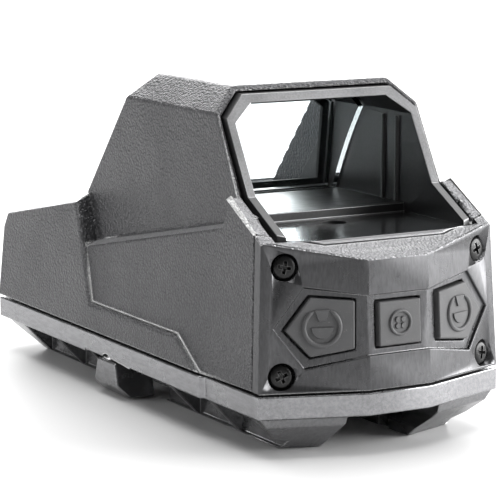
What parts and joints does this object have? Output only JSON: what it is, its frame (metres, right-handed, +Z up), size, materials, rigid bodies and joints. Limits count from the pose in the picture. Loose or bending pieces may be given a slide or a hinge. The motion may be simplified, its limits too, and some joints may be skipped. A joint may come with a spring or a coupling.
{
  "type": "red dot sight",
  "caption": "Hooded reflex red dot sight with a tilted reflector glass, rear keypad, dot adjusters and a quick-release clamp for an accessory rail.",
  "frame": {"origin": "middle of the flat seat that rests on the rail's top face", "axes": "+Y towards the target, along the line of sight; +X to the user's right; +Z up"},
  "size_m": [0.0626, 0.1427, 0.0737],
  "materials": {
    "shell_coat": "fine textured grey-black coat",
    "housing_satin": "satin black anodised",
    "panel_satin": "satin gunmetal",
    "key_rubber": "matte",
    "screw_black": "black oxide",
    "base_aluminium": "bead-blasted grey",
    "steel": "machined",
    "brass": "machined",
    "board": "green solder mask",
    "seal_rubber": "matte",
    "coated_glass": "polished, coated",
    "battery_wrap": "shrink wrap"
  },
  "bodies": {
    "body": {"outer_shell": "shell_coat", "optics_housing": "housing_satin", "reflector_lens": "coated_glass", "front_window": "coated_glass", "emitter_window": "coated_glass", "window_retainer": "seal_rubber", "rear_end_cap": "panel_satin", "keypad_membrane": "seal_rubber", "control_board": "board", "battery_cell": "battery_wrap", "contact_spring": "brass", "contact_plate": "brass", "mount_base": "base_aluminium", "seam_gasket": "seal_rubber", "lever_pin": "steel", "switch_left": "brass", "switch_middle": "brass", "switch_right": "brass", "panel_screw_1": "screw_black", "base_screw_1": "screw_black", "panel_screw_2": "screw_black", "base_screw_2": "screw_black", "panel_screw_3": "screw_black", "base_screw_3": "screw_black", "panel_screw_4": "screw_black", "base_screw_4": "screw_black"},
    "button_left": {"button_left": "key_rubber"},
    "button_middle": {"button_middle": "key_rubber"},
    "button_right": {"button_right": "key_rubber"},
    "windage_dial": {"windage_dial": "steel"},
    "elevation_dial": {"elevation_dial": "steel"},
    "emitter_carriage": {"emitter_carriage": "brass"},
    "emitter_module": {"emitter_module": "steel"},
    "battery_cap": {"battery_cap": "housing_satin", "cap_seal": "seal_rubber"},
    "clamp_lever": {"clamp_lever": "base_aluminium"},
    "clamp_jaw": {"clamp_jaw": "base_aluminium", "cross_bar": "steel", "bar_screw": "screw_black", "jaw_dowel": "steel"}
  },
  "joints": [
    {"name": "button_left_press", "type": "slide", "parent": "body", "child": "button_left", "axis": [0.3264, 0.9437, -0.0539], "range_m": [0, 0.0008], "stiffness_N_per_m": 2500},
    {"name": "button_middle_press", "type": "slide", "parent": "body", "child": "button_middle", "axis": [0, 0.9985, -0.0539], "range_m": [0, 0.0008], "stiffness_N_per_m": 2500},
    {"name": "button_right_press", "type": "slide", "parent": "body", "child": "button_right", "axis": [-0.3264, 0.9437, -0.0539], "range_m": [0, 0.0008], "stiffness_N_per_m": 2500},
    {"name": "windage_turn", "type": "hinge", "parent": "body", "child": "windage_dial", "pos_m": [0.02833, -0.041, 0.026], "axis": [1, 0, 0], "range_deg": [-180, 180]},
    {"name": "elevation_turn", "type": "hinge", "parent": "body", "child": "elevation_dial", "pos_m": [0.02887, -0.041, 0.0136], "axis": [1, 0, 0], "range_deg": [-180, 180]},
    {"name": "emitter_lift", "type": "slide", "parent": "body", "child": "emitter_carriage", "axis": [0, 0, 1], "range_m": [-0.00025, 0.00025]},
    {"name": "emitter_shift", "type": "slide", "parent": "emitter_carriage", "child": "emitter_module", "axis": [1, 0, 0], "range_m": [-0.00025, 0.00025]},
    {"name": "battery_cap_turn", "type": "hinge", "parent": "body", "child": "battery_cap", "pos_m": [0.02865, 0.049, 0.0176], "axis": [1, 0, 0], "range_deg": [0, 90]},
    {"name": "lever_throw", "type": "hinge", "parent": "body", "child": "clamp_lever", "pos_m": [-0.0264, 0.008, -0.004], "axis": [0, 0, -1], "range_deg": [0, 75]},
    {"name": "jaw_release", "type": "slide", "parent": "body", "child": "clamp_jaw", "axis": [-1, 0, 0], "range_m": [0, 0.0024]}
  ],
  "couplings": [
    {"joint": "elevation_turn", "follows": "emitter_lift", "rad_per_m": 12566},
    {"joint": "windage_turn", "follows": "emitter_shift", "rad_per_m": 12566},
    {"joint": "lever_throw", "follows": "jaw_release", "rad_per_m": 545.4}
  ]
}
